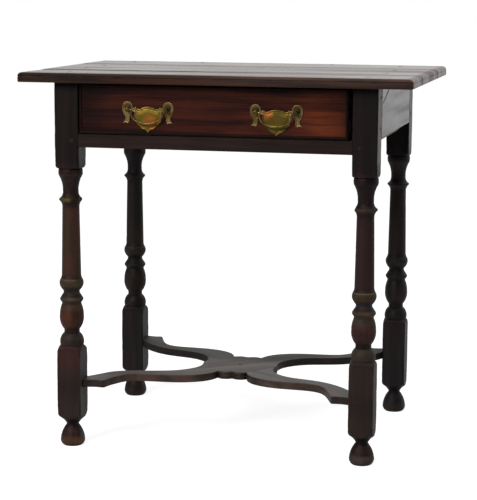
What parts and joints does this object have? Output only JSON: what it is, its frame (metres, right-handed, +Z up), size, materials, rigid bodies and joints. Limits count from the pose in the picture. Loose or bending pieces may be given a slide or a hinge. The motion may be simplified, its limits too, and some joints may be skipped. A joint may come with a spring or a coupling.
{
  "type": "tavern table",
  "caption": "Rectangular table with turned legs, a serpentine cross stretcher and a drawer that slides out, with hanging bail handles.",
  "frame": {"origin": "on the floor, under the middle of the table top", "axes": "+X to the right of someone sitting at the drawer, +Y from the drawer to the back, +Z up"},
  "size_m": [0.733, 0.509, 0.71],
  "materials": {
    "top_wood": "old wax, dark brown",
    "apron_wood": "old wax, dark brown",
    "rail_wood": "old wax, red brown",
    "leg_wood": "old wax, nearly black, worn on the turnings",
    "stretcher_wood": "dull, worn by feet",
    "peg_wood": "dark end grain",
    "runner_wood": "bare, rubbed",
    "drawer_front_wood": "old wax, red brown",
    "bead_wood": "old wax, dark",
    "drawer_box_wood": "bare, dry",
    "brass": "dull, tarnished in the hollows",
    "iron": "hand forged, dark"
  },
  "bodies": {
    "frame": {"top_board_front": "top_wood", "top_board_middle": "top_wood", "top_board_back": "top_wood", "side_apron_left": "apron_wood", "side_apron_right": "apron_wood", "back_apron": "apron_wood", "drawer_rail": "rail_wood", "leg_front_left": "leg_wood", "leg_front_right": "leg_wood", "leg_back_left": "leg_wood", "leg_back_right": "leg_wood", "stretcher_upper": "stretcher_wood", "stretcher_lower": "stretcher_wood", "top_pegs": "peg_wood", "frame_pegs": "peg_wood", "stretcher_pegs": "peg_wood", "stretcher_centre_pin": "peg_wood", "drawer_runner_left": "runner_wood", "drawer_runner_right": "runner_wood", "drawer_guide_left": "runner_wood", "drawer_guide_right": "runner_wood", "drawer_stops": "runner_wood", "runner_nails": "iron"},
    "drawer": {"drawer_front": "drawer_front_wood", "drawer_bead_top": "bead_wood", "drawer_bead_bottom": "bead_wood", "drawer_bead_left": "bead_wood", "drawer_bead_right": "bead_wood", "drawer_side_left": "drawer_box_wood", "drawer_side_right": "drawer_box_wood", "drawer_back": "drawer_box_wood", "drawer_bottom_front": "drawer_box_wood", "drawer_bottom_back": "drawer_box_wood", "handle_plate_left": "brass", "handle_plate_right": "brass", "handle_posts_left": "brass", "handle_posts_right": "brass", "handle_nuts_left": "brass", "handle_nuts_right": "brass", "drawer_bottom_nails": "iron"},
    "bail_left": {"bail_left": "brass"},
    "bail_right": {"bail_right": "brass"}
  },
  "joints": [
    {"name": "drawer_slide", "type": "slide", "parent": "frame", "child": "drawer", "axis": [0, -1, 0], "range_m": [0, 0.3]},
    {"name": "bail_left_swing", "type": "hinge", "parent": "drawer", "child": "bail_left", "pos_m": [-0.122, -0.2398, 0.6445], "axis": [-1, 0, 0], "range_deg": [-9, 175]},
    {"name": "bail_right_swing", "type": "hinge", "parent": "drawer", "child": "bail_right", "pos_m": [0.118, -0.2398, 0.6445], "axis": [-1, 0, 0], "range_deg": [-9, 175]}
  ]
}
